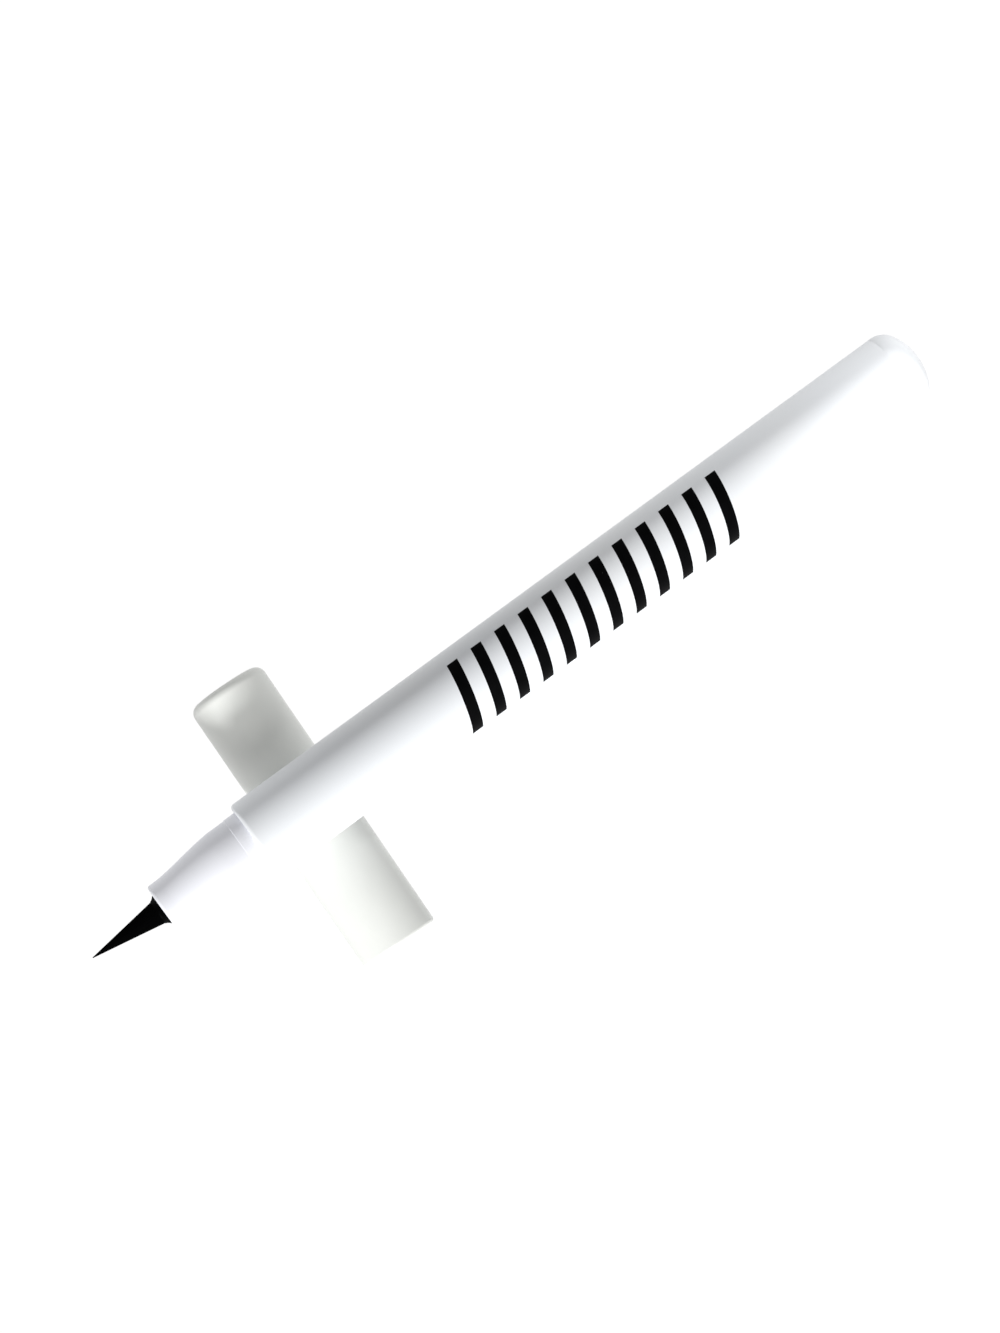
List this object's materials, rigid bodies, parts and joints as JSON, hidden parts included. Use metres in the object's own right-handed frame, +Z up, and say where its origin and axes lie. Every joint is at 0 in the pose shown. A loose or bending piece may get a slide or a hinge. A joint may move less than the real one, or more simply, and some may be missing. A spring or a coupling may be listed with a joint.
{
  "type": "liquid eyeliner pen",
  "caption": "Slim white direct-liquid eyeliner pen with a pointed fibre nib, lying uncapped across its own sprung-seal cap.",
  "frame": {"origin": "on the surface that the pen and cap lie on, under the centre of the whole object's box", "axes": "+X along the pen in plan, from its tail to its nib; +Y towards the cap's mouth; +Z up"},
  "size_m": [0.1244, 0.039, 0.0218],
  "materials": {
    "barrel_white": "satin",
    "neck_white": "satin",
    "cap_white": "satin",
    "nib_black": "matt fibre",
    "sleeve_black": "satin",
    "collector_plastic": "natural moulded",
    "wick_fibre": "fibre",
    "inner_white": "natural moulded",
    "seal_rubber": "matt",
    "steel": "drawn"
  },
  "bodies": {
    "cap": {"cap_shell": "cap_white", "inner_cap_retainer": "inner_white", "cap_spring": "steel"},
    "inner_cap": {"inner_cap": "inner_white", "inner_cap_gasket": "seal_rubber"},
    "pen": {"barrel": "barrel_white", "tail_plug": "barrel_white", "tail_seal_ring": "seal_rubber", "neck": "neck_white", "neck_seal_ring": "seal_rubber", "nib_sleeve": "sleeve_black", "nib": "nib_black", "collector": "collector_plastic", "collector_seal_ring": "seal_rubber", "feed_wick": "wick_fibre"},
    "ball": {"mixing_ball": "steel"}
  },
  "joints": [
    {"name": "pen_lift", "type": "slide", "parent": "cap", "child": "pen", "axis": [0, 0, 1], "range_m": [0, 0.04]},
    {"name": "inner_cap_slide", "type": "slide", "parent": "cap", "child": "inner_cap", "axis": [-0.0332, -0.9995, 0], "range_m": [0, 0.00195], "stiffness_N_per_m": 115, "springref_m": -0.003, "deforming": ["cap_spring"]},
    {"name": "ball_roll", "type": "slide", "parent": "pen", "child": "ball", "axis": [0.9931, 0, 0.1172], "range_m": [0, 0.05114]}
  ]
}
